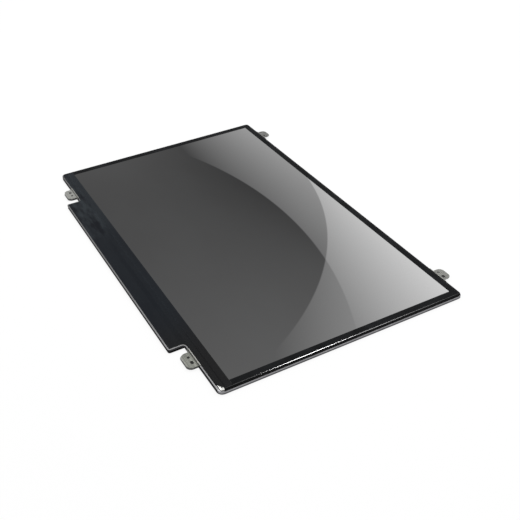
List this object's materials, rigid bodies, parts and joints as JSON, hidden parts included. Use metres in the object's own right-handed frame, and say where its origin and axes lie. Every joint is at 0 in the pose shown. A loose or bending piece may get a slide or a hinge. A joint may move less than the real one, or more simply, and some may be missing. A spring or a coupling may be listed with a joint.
{
  "type": "laptop screen panel",
  "caption": "Slim flat display module for a notebook: dark glossy screen in a black-taped metal tray, with a board strip along the bottom edge and screw tabs at its corners.",
  "frame": {"origin": "middle of the active picture area, on the flat back face of the metal tray", "axes": "+X to the right of the picture, +Y to its top, +Z out of the screen"},
  "size_m": [0.3236, 0.2095, 0.0036],
  "materials": {
    "tray_metal": "stamped satin sheet",
    "bracket_steel": "stamped satin sheet",
    "white_film": "matte",
    "clear_acrylic": "polished",
    "prism_film": "satin",
    "grey_tape": "matte",
    "amber_flex": "satin",
    "lamp_white": "matte",
    "frame_plastic": "matte moulded",
    "cell_glass": "clear",
    "screen": "gloss",
    "black_tape": "satin",
    "foil": "bright",
    "chip_black": "matte",
    "board_green": "satin",
    "inductor_grey": "matte",
    "capacitor_tan": "matte",
    "socket_plastic": "matte",
    "contact_metal": "bright",
    "socket_metal": "satin"
  },
  "bodies": {
    "root": {"rear_tray": "tray_metal", "bracket_lower_left": "bracket_steel", "bracket_lower_right": "bracket_steel", "bracket_upper_left": "bracket_steel", "bracket_upper_right": "bracket_steel", "reflector_sheet": "white_film", "light_guide": "clear_acrylic", "lower_diffuser": "white_film", "lower_prism_sheet": "prism_film", "upper_prism_sheet": "prism_film", "upper_diffuser": "white_film", "led_strip_tape": "grey_tape", "led_strip": "amber_flex", "led_packages": "lamp_white", "support_frame": "frame_plastic", "cell_tape": "grey_tape", "rear_polarizer": "screen", "array_glass": "cell_glass", "filter_glass": "cell_glass", "front_polarizer": "screen", "edge_tape": "black_tape", "cover_film": "black_tape", "ground_foil": "foil", "source_films": "amber_flex", "source_chips": "chip_black", "board_tape": "grey_tape", "control_board": "board_green", "timing_chip": "chip_black", "memory_chip": "chip_black", "power_chip": "chip_black", "lamp_driver_chip": "chip_black", "power_inductors": "inductor_grey", "board_capacitors": "capacitor_tan", "board_resistors": "chip_black", "video_socket": "socket_plastic", "video_socket_contacts": "contact_metal", "video_socket_shell": "socket_metal"}
  },
  "joints": []
}
